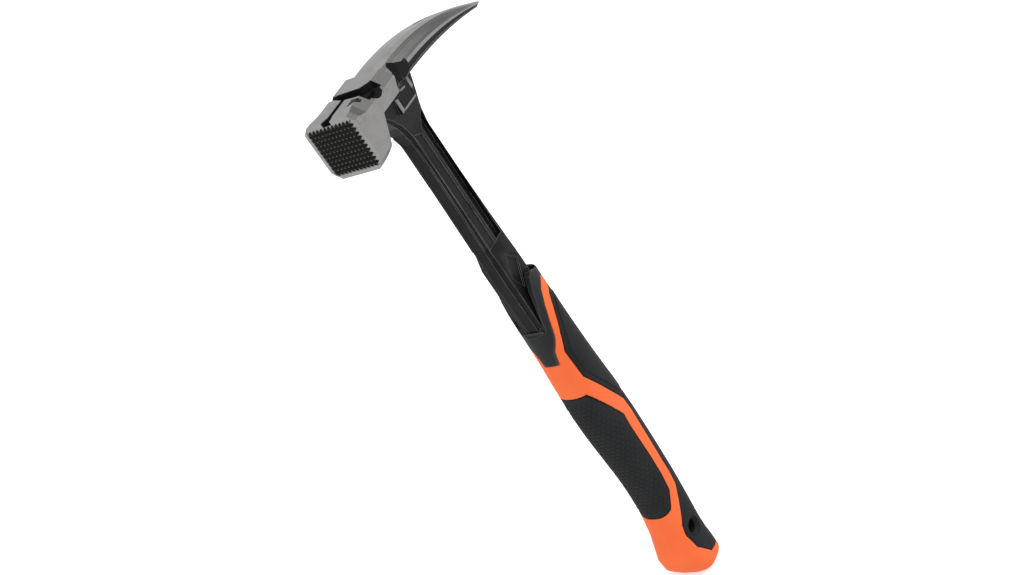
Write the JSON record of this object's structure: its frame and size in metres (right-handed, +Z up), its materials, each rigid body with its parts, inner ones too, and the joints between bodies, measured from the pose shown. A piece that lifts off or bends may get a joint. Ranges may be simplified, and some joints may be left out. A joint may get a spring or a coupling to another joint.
{
  "type": "claw hammer",
  "caption": "Straight-claw framing hammer with a milled striking face, one-piece steel head and shank, and a moulded two-colour grip.",
  "frame": {"origin": "centre of the handle's flat end, where the upright hammer stands", "axes": "+Z up the handle to the head, +X the way the face strikes (the claw points to -X), +Y across the claw"},
  "size_m": [0.1445, 0.034, 0.381],
  "materials": {
    "forged_steel": "satin-ground head and claw, black paint on neck and shank",
    "magnet": "dull nickel plate",
    "core_plastic": "moulded, hidden",
    "orange_rubber": "satin overmould",
    "black_rubber": "matte overmould",
    "textured_rubber": "matte overmould with a fine hexagon texture"
  },
  "bodies": {
    "root": {"forged_head_and_shank": "forged_steel", "nail_holder_magnet": "magnet", "grip_core": "core_plastic", "grip_frame": "orange_rubber", "grip_collar": "black_rubber", "upper_back_pad": "black_rubber", "lower_back_pad": "black_rubber", "front_palm_pad": "textured_rubber"}
  },
  "joints": []
}
